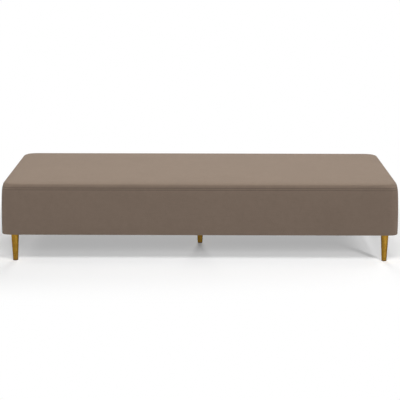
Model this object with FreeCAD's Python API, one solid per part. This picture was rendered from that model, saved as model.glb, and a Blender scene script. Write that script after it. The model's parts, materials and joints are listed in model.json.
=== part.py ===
import FreeCAD, Part
import math
import os

# A backless divan, 2 m long, drawn in millimetres. X runs left to right, Y from front to
# back and Z up. The origin is on the floor, under the middle of the divan.

# Overall shape of the upholstered box
length = 2000.0
width = 1000.0
box_height = 260.0
leg_height = 150.0  # floor to the underside of the box
crown = 5.0  # how far the middle of the seat stands above its edges
end_crown = 0.4  # the same, along the two short edges
widest_height = 65.0  # above the underside, where the walls stand out most
top_draw_in = 6.5  # how far the walls stand in at the top edge
bottom_draw_in = 0.8  # the same, at the underside
corner_radius = 48.0  # upright corners, seen from above
top_edge_radius = 20.0
bottom_edge_radius = 5.0
wall_sections = 6  # outlines between which the walls run straight

# Soft layers, from the outside in
cover_thickness = 1.2
wadding_thickness = 5.0
side_foam_thickness = 12.0
topper_thickness = 25.0
core_thickness = 80.0
felt_thickness = 3.0
soft_gap = 0.3  # left between one soft layer and the next

# Sewn cover and the cloth under the box
top_seam_drop = 4.0  # the top panel's seam, below the top edge and on its rounding
rear_seam_inset = 60.0  # the two upright seams, in front of the rear face
hem_width = 30.0  # cover turned in under the frame
hem_corner_radius = 20.0
dust_cover_thickness = 0.6
dust_cover_inset = 18.0
dust_cover_corner_radius = 30.0
leg_hole_gap = 1.5  # dust cover round a leg

# Timber frame
rail_thickness = 20.0
frame_corner_chamfer = 8.0
cross_rail_thickness = 20.0
cross_rail_height = 90.0
side_cross_rail_offset = 500.0  # from the middle of the divan
corner_block_size = 45.0
corner_block_top_gap = 10.0  # below the top of the rails
leg_board_thickness = 18.0
leg_board_size = 110.0
leg_board_clip = 70.0
centre_board_length = 180.0
centre_board_width = 120.0
centre_block_width = 40.0
centre_block_height = 60.0

# Legs
leg_side_inset = 60.0  # leg axis to the end of the divan
leg_front_inset = 90.0  # leg axis to the front or the rear face
leg_top_radius = 20.0
leg_bottom_radius = 12.5
leg_wall = 1.5
cap_thickness = 8.0
weld_gap = 0.05
glide_thickness = 3.0
glide_plug_height = 12.0
glide_edge_radius = 1.0
glide_gap = 0.1

# Leg stud and tee nut
stud_radius = 4.0
stud_end_chamfer = 0.8
stud_beyond_nut = 4.0
thread_gap = 0.05
nut_barrel_radius = 5.0
nut_barrel_height = 9.0
nut_flange_radius = 10.5
nut_flange_thickness = 1.5
nut_prong_count = 4
nut_prong_width = 3.0
nut_prong_thickness = 1.2
nut_prong_length = 7.0
nut_prong_circle = 9.0
nut_prong_first_angle = 45.0  # degrees from the X axis
nut_headroom = 12.0  # free height above a leg board, under the blocks
nut_pocket_gap = 2.0  # free room round a nut's flange

# Dowels and screws
dowel_radius = 4.0
dowel_length = 36.0
dowel_depth_in_rail = 12.0
dowel_end_chamfer = 1.0
dowel_edge_distance = 22.0  # from the top or bottom edge of an end rail
cross_dowel_spread = 30.0  # above and below the middle of a cross rail
rail_screw_radius = 3.0
rail_screw_length = 80.0
rail_screw_spread = 12.0
block_screw_radius = 2.5
block_screw_length = 48.0
screw_head_ratio = 1.9  # head radius over shank radius
screw_tip_ratio = 2.5  # length of the point over shank radius
drive_width = 1.2  # the cross-shaped drive recess
drive_depth = 2.0
drive_reach_ratio = 0.6  # its arm over the head radius
block_screw_spread_end = 25.0  # above and below the middle of a corner block
block_screw_spread_front = 14.0
board_screw_near = 23.0  # beside the leg axis, towards the corner
board_screw_far = 37.0
board_screw_first = 32.0  # past the leg axis, along the front and rear rails
board_screw_pitch = 40.0
centre_screw_spread = 40.0  # in front of and behind the centre leg
centre_screw_level = 30.0  # above the centre leg board
centre_screw_stagger = 10.0  # keeps the left and right screws apart

# Elastic webbing and staples
strap_width = 70.0
strap_spacing = 52.0  # clear gap between two straps
strap_thickness = 1.6
strap_end_inset = 4.0  # from the outer face of a rail
weave_gap = 0.1
staple_width = 10.0
staple_wire = 0.8
strap_staple_leg = 12.0
underside_staple_leg = 7.0
strap_staple_count = 3
strap_staple_pitch = 22.0
hem_staple_inset = 24.0
hem_staple_pitch = 75.0
dust_staple_inset = 34.5
dust_staple_pitch = 110.0
staple_corner_gap = 75.0  # no hem staple nearer to a corner than this
dust_staple_corner_gap = 130.0  # clears the legs

# Levels
top_edge_level = leg_height + box_height
widest_level = leg_height + widest_height
frame_bottom = leg_height + cover_thickness + soft_gap
wadding_inset = cover_thickness + soft_gap
foam_inset = wadding_inset + wadding_thickness + soft_gap
topper_bottom = top_edge_level - foam_inset - topper_thickness
core_top = topper_bottom - soft_gap
core_bottom = core_top - core_thickness
felt_top = core_bottom - soft_gap
felt_bottom = felt_top - felt_thickness
rail_top = felt_bottom - soft_gap - 2 * strap_thickness - weave_gap
rail_height = rail_top - frame_bottom
board_top = frame_bottom + leg_board_thickness
seam_level = top_edge_level - top_seam_drop

# Plan sizes, measured from the middle of the divan
half_length = length / 2
half_width = width / 2
rail_top_share = (rail_top - widest_level) / (top_edge_level - widest_level)
rail_top_draw_in = top_draw_in * rail_top_share * rail_top_share
frame_inset = rail_top_draw_in + foam_inset + side_foam_thickness + soft_gap
frame_x = half_length - frame_inset
frame_y = half_width - frame_inset
inner_x = frame_x - rail_thickness
inner_y = frame_y - rail_thickness
leg_x = half_length - leg_side_inset
leg_y = half_width - leg_front_inset
foot_x = half_length - bottom_draw_in  # the box walls, at their lower edge
foot_y = half_width - bottom_draw_in

# The four corners, by name, as the signs of X and Y
corners = {
    "front_left": (-1, -1),
    "front_right": (1, -1),
    "back_left": (-1, 1),
    "back_right": (1, 1),
}
leg_places = {name: (sx * leg_x, sy * leg_y) for name, (sx, sy) in corners.items()}
leg_places["centre"] = (0.0, 0.0)


def vec(x, y, z):
    return FreeCAD.Vector(x, y, z)


def cuboid(x0, x1, y0, y1, z0, z1):
    """An upright box between two opposite corners, given in any order."""
    size = (abs(x1 - x0), abs(y1 - y0), abs(z1 - z0))
    return Part.makeBox(*size, vec(min(x0, x1), min(y0, y1), min(z0, z1)))


def slab(z0, z1):
    """All that lies between two levels, wider than the divan."""
    return cuboid(-length, length, -width, width, z0, z1)


def prism(points, z0, z1):
    """A polygon seen from above, raised between two levels."""
    outline = [vec(x, y, z0) for x, y in points]
    return Part.Face(Part.makePolygon(outline + outline[:1])).extrude(vec(0, 0, z1 - z0))


def turned(points):
    """A profile of (radius, level) points turned round the Z axis."""
    outline = [vec(r, 0, z) for r, z in points]
    face = Part.Face(Part.makePolygon(outline + outline[:1]))
    return face.revolve(vec(0, 0, 0), vec(0, 0, 1), 360)


def aimed(shape, point, direction):
    """A copy whose +Z points along a direction, with its origin at a point."""
    copy = shape.copy()
    turn = FreeCAD.Rotation(vec(0, 0, 1), direction)
    copy.Placement = FreeCAD.Placement(point, turn)
    return copy


def cut_by(piece, tools):
    """Cuts a piece by those tools that reach it."""
    near = [tool for tool in tools if tool.BoundBox.intersect(piece.BoundBox)]
    return piece.cut(near) if near else piece


def spread(low, high, pitch):
    """Evenly spaced places from low to high, about one pitch apart."""
    steps = max(1, round((high - low) / pitch))
    return [low + (high - low) * step / steps for step in range(steps + 1)]


def strap_places(clear_length):
    """Middles of the straps that fit side by side in a clear length."""
    pitch = strap_width + strap_spacing
    count = max(1, int((clear_length - strap_spacing) // pitch))
    return [pitch * (number - (count - 1) / 2) for number in range(count)]


def rounded_loop(half_x, half_y, radius, level):
    """A rounded rectangle: four lines and four quarter arcs."""
    arcs = []
    for number, (sx, sy) in enumerate(((1, 1), (-1, 1), (-1, -1), (1, -1))):
        middle_x = sx * (half_x - radius)
        middle_y = sy * (half_y - radius)
        ends = []
        for degrees in (0, 45, 90):
            angle = math.radians(90 * number + degrees)
            x = middle_x + radius * math.cos(angle)
            y = middle_y + radius * math.sin(angle)
            ends.append(vec(x, y, level))
        arcs.append(ends)
    edges = []
    for number, ends in enumerate(arcs):
        following = arcs[(number + 1) % len(arcs)]
        edges.append(Part.Arc(*ends).toShape())
        edges.append(Part.LineSegment(ends[2], following[0]).toShape())
    return Part.Wire(edges)


def rounded_slab(half_x, half_y, radius, z0, z1):
    loop = rounded_loop(half_x, half_y, radius, z0)
    return Part.Face(loop).extrude(vec(0, 0, z1 - z0))


def draw_in_at(level):
    """How far the walls stand in at a level, nothing where they are widest."""
    if level < widest_level:
        share = (widest_level - level) / widest_height
        return bottom_draw_in * share * share
    share = (level - widest_level) / (top_edge_level - widest_level)
    return top_draw_in * share * share


def under_crown(inset):
    """Everything below the gently domed seat, lowered by an inset."""
    low = -leg_height
    edge = top_edge_level - inset
    sections = []
    for x, rise in ((-half_length, end_crown), (0, crown), (half_length, end_crown)):
        front = vec(x, -half_width, edge)
        rear = vec(x, half_width, edge)
        wire = Part.Wire(
            [
                Part.Arc(front, vec(x, 0, edge + rise), rear).toShape(),
                Part.LineSegment(rear, vec(x, half_width, low)).toShape(),
                Part.LineSegment(vec(x, half_width, low), vec(x, -half_width, low)).toShape(),
                Part.LineSegment(vec(x, -half_width, low), front).toShape(),
            ]
        )
        sections.append(wire)
    return Part.makeLoft(sections, True, False)


def upholstered_form(inset, bottom, bottom_radius):
    """The outside of the upholstered box moved in by an inset, down to a bottom level."""
    above = top_edge_level + 2 * crown
    step = (above - widest_level) / (wall_sections - 2)
    levels = [bottom] + [widest_level + step * number for number in range(wall_sections - 1)]
    sections = []
    for level in levels:
        back = inset + draw_in_at(level)
        sections.append(
            rounded_loop(half_length - back, half_width - back, corner_radius - inset, level)
        )
    form = Part.makeLoft(sections, True, True).common(under_crown(inset)).Solids[0]
    if top_edge_radius > inset:
        top = max(form.Faces, key=lambda face: face.CenterOfMass.z)
        form = form.makeFillet(top_edge_radius - inset, top.Edges)
    if bottom_radius > 0:
        under = min(form.Faces, key=lambda face: face.CenterOfMass.z)
        form = form.makeFillet(bottom_radius, under.Edges)
    return form


def screw(radius, screw_length, recess):
    """A countersunk wood screw: its head is flush at the origin and it points down."""
    head = radius * screw_head_ratio
    point = radius * screw_tip_ratio
    body = turned(
        [
            (0, 0),
            (head, 0),
            (radius, radius - head),
            (radius, point - screw_length),
            (0, -screw_length),
        ]
    )
    if not recess:
        return body
    arm = head * drive_reach_ratio
    half = drive_width / 2
    cross = [
        cuboid(-arm, arm, -half, half, -drive_depth, 0),
        cuboid(-half, half, -arm, arm, -drive_depth, 0),
    ]
    return body.cut(cross)


def dowel(point, direction):
    """A chamfered dowel that starts at a point and runs along a direction."""
    rim = dowel_radius - dowel_end_chamfer
    peg = turned(
        [
            (0, 0),
            (rim, 0),
            (dowel_radius, dowel_end_chamfer),
            (dowel_radius, dowel_length - dowel_end_chamfer),
            (rim, dowel_length),
            (0, dowel_length),
        ]
    )
    return aimed(peg, point, direction)


def staple(middle, along, out, leg):
    """A wire staple: its crown runs along one direction and faces out, its legs go in."""
    across = along.cross(out)
    side = staple_width / 2
    profile = [
        (-side, 0),
        (side, 0),
        (side, -leg),
        (side - staple_wire, -leg),
        (side - staple_wire, -staple_wire),
        (staple_wire - side, -staple_wire),
        (staple_wire - side, -leg),
        (-side, -leg),
    ]
    start = middle - across * (staple_wire / 2)
    outline = [start + along * s + out * h for s, h in profile]
    return Part.Face(Part.makePolygon(outline + outline[:1])).extrude(across * staple_wire)


def screw_seats(radius, screw_length, places):
    """Screws for the given places, and the plain bodies that cut their holes."""
    whole = screw(radius, screw_length, True)
    plain = screw(radius, screw_length, False)
    made = [aimed(whole, point, out) for point, out in places]
    holes = [aimed(plain, point, out) for point, out in places]
    return made, holes


def frame_dowels():
    """Two dowels in each end of the end rails and of the cross rails."""
    pegs = []
    end_levels = (frame_bottom + dowel_edge_distance, rail_top - dowel_edge_distance)
    joints = [(sx * (frame_x - rail_thickness / 2), end_levels) for sx in (-1, 1)]
    for x, (z0, z1) in cross_rails.values():
        middle = (z0 + z1) / 2
        joints.append((x, (middle - cross_dowel_spread, middle + cross_dowel_spread)))
    for x, levels in joints:
        for z in levels:
            for sy in (-1, 1):
                start = vec(x, sy * (inner_y + dowel_depth_in_rail), z)
                pegs.append(dowel(start, vec(0, -sy, 0)))
    return pegs


def rail_screw_places():
    """Through the front and back rails into the ends of the cross rails."""
    places = []
    for x, (z0, z1) in cross_rails.values():
        for sz in (-1, 1):
            z = (z0 + z1) / 2 + sz * rail_screw_spread
            for sy in (-1, 1):
                places.append((vec(x, sy * frame_y, z), vec(0, sy, 0)))
    return places


def block_screw_places():
    """Through the rails into the corner blocks and leg boards, and round the centre leg."""
    places = []
    block_middle = (board_top + nut_headroom + rail_top - corner_block_top_gap) / 2
    board_middle = frame_bottom + leg_board_thickness / 2
    for sx, sy in corners.values():
        block_x = sx * (inner_x - corner_block_size / 2)
        block_y = sy * (inner_y - corner_block_size / 2)
        for sz in (-1, 1):
            end_z = block_middle + sz * block_screw_spread_end
            front_z = block_middle + sz * block_screw_spread_front
            places.append((vec(sx * frame_x, block_y, end_z), vec(sx, 0, 0)))
            places.append((vec(block_x, sy * frame_y, front_z), vec(0, sy, 0)))
        for y in (leg_y + board_screw_near, leg_y - board_screw_far):
            places.append((vec(sx * frame_x, sy * y, board_middle), vec(sx, 0, 0)))
        for step in (0, 1):
            x = leg_x - board_screw_first - step * board_screw_pitch
            places.append((vec(sx * x, sy * frame_y, board_middle), vec(0, sy, 0)))
    outer = cross_rail_thickness / 2 + centre_block_width
    for sx in (-1, 1):
        for sy in (-1, 1):
            y = sy * centre_screw_spread
            up_x = sx * (outer - centre_block_width / 2)
            side_y = y + sx * centre_screw_stagger
            level = board_top + centre_screw_level
            places.append((vec(up_x, y, frame_bottom), vec(0, 0, -1)))
            places.append((vec(sx * outer, side_y, level), vec(sx, 0, 0)))
    return places


def strap_staples():
    """A row of staples in each end of every strap."""
    level = rail_top + strap_thickness + staple_wire
    offsets = [
        strap_staple_pitch * (number - (strap_staple_count - 1) / 2)
        for number in range(strap_staple_count)
    ]
    leg = strap_staple_leg
    made = []
    for offset in offsets:
        for side in (-1, 1):
            for x in cross_strap_places:
                place = vec(x + offset, side * (frame_y - rail_thickness / 2), level)
                made.append(staple(place, vec(1, 0, 0), vec(0, 0, 1), leg))
            for y in long_strap_places:
                place = vec(side * (frame_x - rail_thickness / 2), y + offset, level)
                made.append(staple(place, vec(0, 1, 0), vec(0, 0, 1), leg))
    return made


def underside_staples(inset, pitch, corner_gap, level):
    """Staples round the underside, their legs pointing up into the rails."""
    leg = underside_staple_leg
    made = []
    for side in (-1, 1):
        for x in spread(corner_gap - foot_x, foot_x - corner_gap, pitch):
            place = vec(x, side * (foot_y - inset), level)
            made.append(staple(place, vec(1, 0, 0), vec(0, 0, -1), leg))
        for y in spread(corner_gap - foot_y, foot_y - corner_gap, pitch):
            place = vec(side * (foot_x - inset), y, level)
            made.append(staple(place, vec(0, 1, 0), vec(0, 0, -1), leg))
    return made


def long_rail(side):
    """The front or the back rail, its outer corners taken off."""
    chamfer = frame_corner_chamfer
    outline = [
        (-frame_x, inner_y),
        (-frame_x, frame_y - chamfer),
        (chamfer - frame_x, frame_y),
        (frame_x - chamfer, frame_y),
        (frame_x, frame_y - chamfer),
        (frame_x, inner_y),
    ]
    return prism([(x, side * y) for x, y in outline], frame_bottom, rail_top)


def end_rail(side):
    return cuboid(side * inner_x, side * frame_x, -inner_y, inner_y, frame_bottom, rail_top)


def cross_rail(x, z0, z1):
    half = cross_rail_thickness / 2
    return cuboid(x - half, x + half, -inner_y, inner_y, z0, z1)


def nut_pocket(x, y):
    """The free room over a tee nut."""
    radius = nut_flange_radius + nut_pocket_gap
    return Part.makeCylinder(radius, nut_headroom, vec(x, y, board_top))


def corner_block(sx, sy):
    low = board_top + nut_headroom
    high = rail_top - corner_block_top_gap
    x1 = sx * (inner_x - corner_block_size)
    y1 = sy * (inner_y - corner_block_size)
    return cuboid(sx * inner_x, x1, sy * inner_y, y1, low, high)


def corner_leg_board(sx, sy):
    """Plywood in the corner of the frame, its free corner clipped."""
    size = leg_board_size
    kept = leg_board_size - leg_board_clip
    outline = [(0, 0), (size, 0), (size, kept), (kept, size), (0, size)]
    points = [(sx * (inner_x - x), sy * (inner_y - y)) for x, y in outline]
    return prism(points, frame_bottom, board_top)


def centre_block(side):
    near = side * cross_rail_thickness / 2
    far = near + side * centre_block_width
    half = centre_board_width / 2
    return cuboid(near, far, -half, half, board_top, board_top + centre_block_height)


def tee_nut(x, y):
    """A pronged nut: its flange lies on the leg board and its barrel goes down."""
    flange = Part.makeCylinder(nut_flange_radius, nut_flange_thickness, vec(0, 0, 0))
    barrel = Part.makeCylinder(nut_barrel_radius, nut_barrel_height, vec(0, 0, -nut_barrel_height))
    half = nut_prong_thickness / 2
    parts = [barrel]
    for number in range(nut_prong_count):
        prong = cuboid(
            nut_prong_circle - half,
            nut_prong_circle + half,
            -nut_prong_width / 2,
            nut_prong_width / 2,
            -nut_prong_length,
            0,
        )
        angle = nut_prong_first_angle + 360 * number / nut_prong_count
        prong.rotate(vec(0, 0, 0), vec(0, 0, 1), angle)
        parts.append(prong)
    solid = flange.fuse(parts).removeSplitter()
    solid.translate(vec(x, y, board_top))
    return solid


def threaded_nut(x, y):
    bore_radius = stud_radius + thread_gap
    reach = nut_barrel_height + nut_flange_thickness
    bore = Part.makeCylinder(bore_radius, reach, vec(x, y, board_top - nut_barrel_height))
    return tee_nut(x, y).cut(bore)


def stud(x, y):
    """The threaded rod that joins a leg's cap to its tee nut."""
    low = frame_bottom - cap_thickness
    high = board_top + nut_flange_thickness + stud_beyond_nut
    rim = stud_radius - stud_end_chamfer
    rod = turned(
        [
            (0, low),
            (rim, low),
            (stud_radius, low + stud_end_chamfer),
            (stud_radius, high - stud_end_chamfer),
            (rim, high),
            (0, high),
        ]
    )
    rod.translate(vec(x, y, 0))
    return rod


def leg_radius_at(level):
    """Outer radius of a leg, which tapers down from the frame to the floor."""
    share = level / frame_bottom
    return leg_bottom_radius + (leg_top_radius - leg_bottom_radius) * share


def leg_bore_at(level):
    return leg_radius_at(level) - leg_wall


def leg(x, y):
    """A tapered metal tube."""
    tube = turned(
        [
            (leg_bore_at(glide_thickness), glide_thickness),
            (leg_radius_at(glide_thickness), glide_thickness),
            (leg_radius_at(frame_bottom), frame_bottom),
            (leg_bore_at(frame_bottom), frame_bottom),
        ]
    )
    tube.translate(vec(x, y, 0))
    return tube


def leg_cap(x, y):
    """The disc welded into the top of a leg, bored for its stud."""
    low = frame_bottom - cap_thickness
    bore = stud_radius + thread_gap
    disc = turned(
        [
            (bore, low),
            (leg_bore_at(low) - weld_gap, low),
            (leg_bore_at(frame_bottom) - weld_gap, frame_bottom),
            (bore, frame_bottom),
        ]
    )
    disc.translate(vec(x, y, 0))
    return disc


def leg_glide(x, y):
    """A nylon pad under a leg, with a plug inside the tube."""
    pad = leg_radius_at(glide_thickness) - weld_gap
    plug = leg_bore_at(glide_thickness) - glide_gap
    top = glide_thickness + glide_plug_height
    edge = glide_edge_radius
    glide = turned(
        [
            (0, 0),
            (pad - edge, 0),
            (pad, edge),
            (pad, glide_thickness),
            (plug, glide_thickness),
            (plug, top),
            (0, top),
        ]
    )
    glide.translate(vec(x, y, 0))
    return glide


def cross_strap(x):
    """A strap from the front rail to the back rail."""
    half = strap_width / 2
    reach = frame_y - strap_end_inset
    return cuboid(x - half, x + half, -reach, reach, rail_top, rail_top + strap_thickness)


def long_strap(y, first_over):
    """A strap from end to end that passes over and under the cross straps in turn."""
    half = strap_width / 2
    step = strap_thickness + weave_gap
    reach = frame_x - strap_end_inset
    path = [(-reach, 0), (-inner_x, 0)]
    for number, x in enumerate(cross_strap_places):
        over = (number % 2 == 0) == first_over
        height = step if over else -step
        path += [(x - half, height), (x + half, height)]
    path += [(inner_x, 0), (reach, 0)]
    lower = [vec(x, y - half, rail_top + z) for x, z in path]
    upper = [point + vec(0, 0, strap_thickness) for point in reversed(lower)]
    outline = lower + upper
    return Part.Face(Part.makePolygon(outline + outline[:1])).extrude(vec(0, strap_width, 0))


def frame_envelope():
    """The outside of the timber frame with a clearance, for the foam round it."""
    outline = []
    reach_x = frame_x + soft_gap
    reach_y = frame_y + soft_gap
    for sx, sy in ((-1, -1), (1, -1), (1, 1), (-1, 1)):
        along_end = (sx * reach_x, sy * (reach_y - frame_corner_chamfer))
        along_front = (sx * (reach_x - frame_corner_chamfer), sy * reach_y)
        outline += [along_end, along_front] if sx * sy > 0 else [along_front, along_end]
    return prism(outline, 0, top_edge_level)


# Places that several pieces share
cross_rails = {
    "left_cross_rail": (-side_cross_rail_offset, (frame_bottom, frame_bottom + cross_rail_height)),
    "centre_cross_rail": (0.0, (board_top, board_top + cross_rail_height)),
    "right_cross_rail": (side_cross_rail_offset, (frame_bottom, frame_bottom + cross_rail_height)),
}
cross_strap_places = strap_places(2 * inner_x)
long_strap_places = strap_places(2 * inner_y)

# Fasteners, each of which also cuts its own hole
dowels = frame_dowels()
rail_screws, rail_screw_holes = screw_seats(
    rail_screw_radius, rail_screw_length, rail_screw_places()
)
block_screws, block_screw_holes = screw_seats(
    block_screw_radius, block_screw_length, block_screw_places()
)
webbing_staples = strap_staples()
hem_staples = underside_staples(
    hem_staple_inset, hem_staple_pitch, staple_corner_gap, leg_height
)
dust_cover_top = leg_height - soft_gap
dust_cover_bottom = dust_cover_top - dust_cover_thickness
dust_staples = underside_staples(
    dust_staple_inset,
    dust_staple_pitch,
    dust_staple_corner_gap,
    dust_cover_bottom - staple_wire,
)
nut_seats = [tee_nut(x, y) for x, y in leg_places.values()]
studs = [stud(x, y) for x, y in leg_places.values()]
timber_cutters = (
    dowels
    + rail_screw_holes
    + block_screw_holes
    + webbing_staples
    + hem_staples
    + dust_staples
    + nut_seats
    + studs
)

# Timber pieces
timber = {
    "front_rail": long_rail(-1),
    "back_rail": long_rail(1),
    "left_end_rail": end_rail(-1),
    "right_end_rail": end_rail(1),
    "centre_leg_board": cuboid(
        -centre_board_length / 2,
        centre_board_length / 2,
        -centre_board_width / 2,
        centre_board_width / 2,
        frame_bottom,
        board_top,
    ),
    "centre_block_left": centre_block(-1).cut(nut_pocket(0, 0)),
    "centre_block_right": centre_block(1).cut(nut_pocket(0, 0)),
}
for name, (x, (z0, z1)) in cross_rails.items():
    timber[name] = cross_rail(x, z0, z1)
timber["centre_cross_rail"] = timber["centre_cross_rail"].cut(nut_pocket(0, 0))
for name, (sx, sy) in corners.items():
    timber["corner_block_" + name] = corner_block(sx, sy)
    timber["leg_board_" + name] = corner_leg_board(sx, sy)
pieces = {name: cut_by(solid, timber_cutters) for name, solid in timber.items()}

# Webbing
pieces["webbing_cross_straps"] = Part.makeCompound(
    [cut_by(cross_strap(x), webbing_staples) for x in cross_strap_places]
)
pieces["webbing_long_straps"] = Part.makeCompound(
    [
        cut_by(long_strap(y, number % 2 == 0), webbing_staples)
        for number, y in enumerate(long_strap_places)
    ]
)

# Soft layers
foam_form = upholstered_form(foam_inset, 0, 0)
pieces["felt_insulator"] = foam_form.common(slab(felt_bottom, felt_top))
pieces["seat_foam_core"] = foam_form.common(slab(core_bottom, core_top))
pieces["seat_foam_topper"] = foam_form.common(slab(topper_bottom, top_edge_level + crown))
side_foam = foam_form.common(slab(frame_bottom, felt_bottom - soft_gap)).cut(frame_envelope())
foam_split = half_length - corner_radius
pieces["left_side_foam"] = side_foam.common(
    cuboid(-length, -foam_split, -width, width, 0, top_edge_level)
)
pieces["right_side_foam"] = side_foam.common(
    cuboid(foam_split, length, -width, width, 0, top_edge_level)
)
pieces["front_side_foam"] = side_foam.common(
    cuboid(-foam_split, foam_split, -width, 0, 0, top_edge_level)
)
pieces["back_side_foam"] = side_foam.common(
    cuboid(-foam_split, foam_split, 0, width, 0, top_edge_level)
)
wadding_form = upholstered_form(
    wadding_inset, leg_height + wadding_inset, bottom_edge_radius - wadding_inset
)
wadding_hollow = upholstered_form(wadding_inset + wadding_thickness, 0, 0)
pieces["wadding_wrap"] = wadding_form.cut(wadding_hollow)

# Sewn cover: the top panel, a band round the front and the ends, and the rear band
cover_form = upholstered_form(0, leg_height, bottom_edge_radius)
cover_hollow = upholstered_form(
    cover_thickness, leg_height + cover_thickness, bottom_edge_radius - cover_thickness
)
hem_opening = rounded_slab(
    foot_x - hem_width, foot_y - hem_width, hem_corner_radius, 0, leg_height + box_height / 2
)
cover = cover_form.cut([cover_hollow, hem_opening])
rear_seam = half_width - rear_seam_inset
bands = cut_by(cover.common(slab(0, seam_level)), hem_staples)
pieces["cover_top_panel"] = cover.common(slab(seam_level, 2 * top_edge_level))
pieces["cover_front_band"] = bands.common(
    cuboid(-length, length, -width, rear_seam, 0, 2 * top_edge_level)
)
pieces["cover_rear_band"] = bands.common(
    cuboid(-length, length, rear_seam, width, 0, 2 * top_edge_level)
)
dust_cover = rounded_slab(
    foot_x - dust_cover_inset,
    foot_y - dust_cover_inset,
    dust_cover_corner_radius,
    dust_cover_bottom,
    dust_cover_top,
)
leg_holes = [
    Part.makeCylinder(leg_top_radius + leg_hole_gap, leg_height, vec(x, y, 0))
    for x, y in leg_places.values()
]
pieces["dust_cover"] = cut_by(dust_cover, leg_holes + dust_staples)

# Legs
for name, (x, y) in leg_places.items():
    pieces["leg_" + name] = leg(x, y)
    pieces["leg_cap_" + name] = leg_cap(x, y)
    pieces["leg_glide_" + name] = leg_glide(x, y)

# Identical fasteners, kept together
pieces["frame_dowels"] = Part.makeCompound(dowels)
pieces["rail_screws"] = Part.makeCompound(rail_screws)
pieces["block_screws"] = Part.makeCompound(block_screws)
pieces["webbing_staples"] = Part.makeCompound(webbing_staples)
pieces["cover_staples"] = Part.makeCompound(hem_staples)
pieces["dust_cover_staples"] = Part.makeCompound(dust_staples)
pieces["leg_studs"] = Part.makeCompound(studs)
pieces["tee_nuts"] = Part.makeCompound([threaded_nut(x, y) for x, y in leg_places.values()])

os.makedirs("parts", exist_ok=True)
for name, shape in pieces.items():
    shape.exportStep(f"parts/{name}.step")
    print(name, len(shape.Solids), "solids", round(shape.Volume), "mm3")
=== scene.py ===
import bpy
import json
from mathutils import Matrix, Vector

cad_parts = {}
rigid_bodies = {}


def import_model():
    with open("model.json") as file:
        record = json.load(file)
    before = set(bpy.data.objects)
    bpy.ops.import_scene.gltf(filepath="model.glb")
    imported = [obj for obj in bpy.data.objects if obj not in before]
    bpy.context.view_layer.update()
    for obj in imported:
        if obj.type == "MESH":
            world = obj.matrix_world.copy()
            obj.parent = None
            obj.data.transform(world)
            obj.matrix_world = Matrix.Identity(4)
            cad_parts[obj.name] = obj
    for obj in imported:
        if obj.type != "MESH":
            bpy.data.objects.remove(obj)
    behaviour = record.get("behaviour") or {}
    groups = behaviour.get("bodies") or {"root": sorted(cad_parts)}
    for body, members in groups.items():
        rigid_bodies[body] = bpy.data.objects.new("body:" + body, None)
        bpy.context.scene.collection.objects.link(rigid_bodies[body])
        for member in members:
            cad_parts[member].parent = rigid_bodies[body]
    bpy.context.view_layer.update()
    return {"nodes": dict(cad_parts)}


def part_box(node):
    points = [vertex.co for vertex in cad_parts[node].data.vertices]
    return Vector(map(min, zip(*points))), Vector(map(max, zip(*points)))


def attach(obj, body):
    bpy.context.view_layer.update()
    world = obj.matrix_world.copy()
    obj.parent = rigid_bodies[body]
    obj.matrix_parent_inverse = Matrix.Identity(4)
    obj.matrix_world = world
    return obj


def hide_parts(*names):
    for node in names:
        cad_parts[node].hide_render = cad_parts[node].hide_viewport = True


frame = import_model()

import json
import math

import bmesh
import bpy
from mathutils import Matrix, Vector, noise

nodes = frame["nodes"]
print("frame loaded,", len(nodes), "nodes")


# picking and mesh tools

def onlySelect(piece):
    bpy.ops.object.select_all(action="DESELECT")
    piece.select_set(True)
    bpy.context.view_layer.objects.active = piece


def startEdit(piece, mode="FACE"):
    onlySelect(piece)
    bpy.ops.object.mode_set(mode="EDIT")
    bpy.ops.mesh.select_mode(type=mode)
    bpy.ops.mesh.select_all(action="DESELECT")


def endEdit():
    bpy.ops.object.mode_set(mode="OBJECT")


def pick(piece, kind, test):
    # selects the faces, edges or verts of the piece in edit mode that pass the test
    bpy.ops.mesh.select_all(action="DESELECT")
    mesh = bmesh.from_edit_mesh(piece.data)
    for part in getattr(mesh, kind):
        if test(part):
            part.select_set(True)
    bmesh.update_edit_mesh(piece.data)


def middleOf(part):
    return sum((v.co for v in part.verts), Vector()) / len(part.verts)


def sliceAt(axis, places):
    # cuts the whole mesh in edit mode by planes square to an axis
    normal = [0, 0, 0]
    normal[axis] = 1
    for place in places:
        bpy.ops.mesh.select_all(action="SELECT")
        bpy.ops.mesh.bisect(plane_co=[place * n for n in normal], plane_no=normal)


def evenly(low, high, cell):
    # places from low to high, about one cell apart
    steps = max(1, round((high - low) / cell))
    return [low + (high - low) * step / steps for step in range(steps + 1)]


def newBox(name, low, high):
    bpy.ops.object.select_all(action="DESELECT")
    middle = [(a + b) / 2 for a, b in zip(low, high)]
    size = [b - a for a, b in zip(low, high)]
    bpy.ops.mesh.primitive_cube_add(size=1, location=middle, scale=size)
    piece = bpy.context.active_object
    piece.name = piece.data.name = name
    bpy.ops.object.transform_apply(location=True, rotation=True, scale=True)
    return piece


def applied(piece, kind, **settings):
    # adds a modifier and applies it
    onlySelect(piece)
    modifier = piece.modifiers.new(kind.lower(), kind)
    for name, value in settings.items():
        setattr(modifier, name, value)
    bpy.ops.object.modifier_apply(modifier=modifier.name)


def copyOf(piece, name, move=(0, 0, 0)):
    twin = piece.copy()
    twin.data = piece.data.copy()
    twin.name = twin.data.name = name
    twin.data.transform(Matrix.Translation(move))
    bpy.context.collection.objects.link(twin)
    return twin


def joined(name, parts):
    bpy.ops.object.select_all(action="DESELECT")
    for part in parts:
        part.select_set(True)
    bpy.context.view_layer.objects.active = parts[0]
    bpy.ops.object.join()
    parts[0].name = parts[0].data.name = name
    return parts[0]


def finished(piece, material, replaced):
    # gives a piece its finish and its place in the model
    piece.data.materials.clear()
    piece.data.materials.append(material)
    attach(piece, "root")
    if replaced:
        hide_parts(*replaced)
    return piece


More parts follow.
